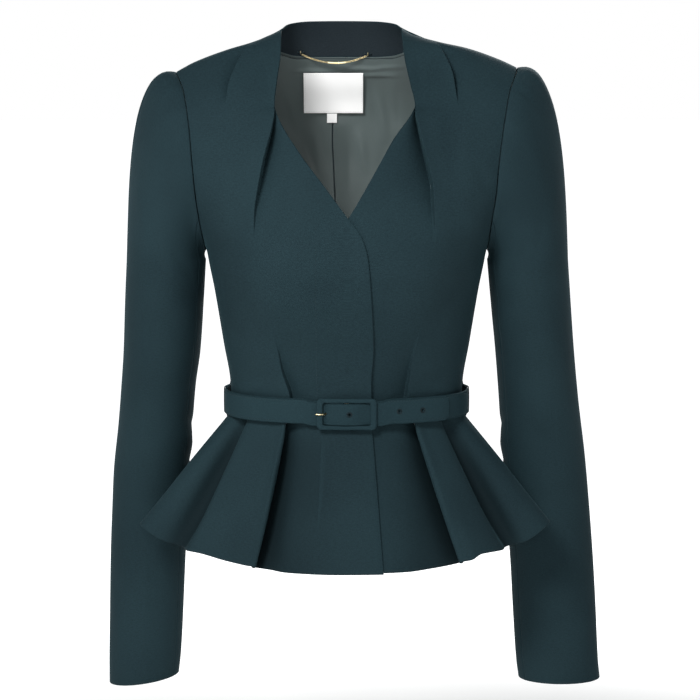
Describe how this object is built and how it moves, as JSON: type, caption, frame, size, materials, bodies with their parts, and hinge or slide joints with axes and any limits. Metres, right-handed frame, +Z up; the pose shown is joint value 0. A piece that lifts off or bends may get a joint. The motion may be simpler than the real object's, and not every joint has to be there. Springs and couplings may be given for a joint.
{
  "type": "peplum jacket",
  "caption": "Fitted peplum jacket in its worn form, empty: long sleeves, deep V neck with a raised pleated collar, flared pleated peplum and a buckled waist belt.",
  "frame": {"origin": "the middle of the jacket between its shoulders, at the height of the back neck seam and the depth of the side seams, where a wearer or a dress form holds it", "axes": "+Z up along the length, +Y towards the back, +X towards the wearer's left"},
  "size_m": [0.5259, 0.2925, 0.7034],
  "materials": {
    "crepe": "dark ink-teal crepe, matt with a faint sheen",
    "lining": "grey-green satin lining",
    "label_tape": "white satin label tape, blank",
    "gold_metal": "polished pale gold",
    "thread": "twisted sewing thread"
  },
  "bodies": {
    "jacket": {"front_right": "crepe", "front_left": "crepe", "back_right": "crepe", "back_left": "crepe", "collar_back": "crepe", "sleeve_upper_right": "crepe", "sleeve_upper_left": "crepe", "sleeve_under_right": "crepe", "sleeve_under_left": "crepe", "peplum_front_right": "crepe", "peplum_front_left": "crepe", "peplum_back_right": "crepe", "peplum_back_left": "crepe", "belt": "crepe", "buckle_frame": "crepe", "buckle_bar": "crepe", "belt_carrier_left": "crepe", "belt_carrier_right": "crepe", "lining_back": "lining", "label": "label_tape", "size_tab": "label_tape", "prong": "gold_metal", "thread_bar_right": "thread", "thread_bar_left": "thread"},
    "chain": {"hanger_chain": "gold_metal"}
  },
  "joints": [
    {"name": "hanger_chain_swing", "type": "hinge", "parent": "jacket", "child": "chain", "pos_m": [-0.0128, 0.05139, 0.0006], "axis": [-0.9983, -0.0539, 0.0227], "range_deg": [0, 150]}
  ]
}
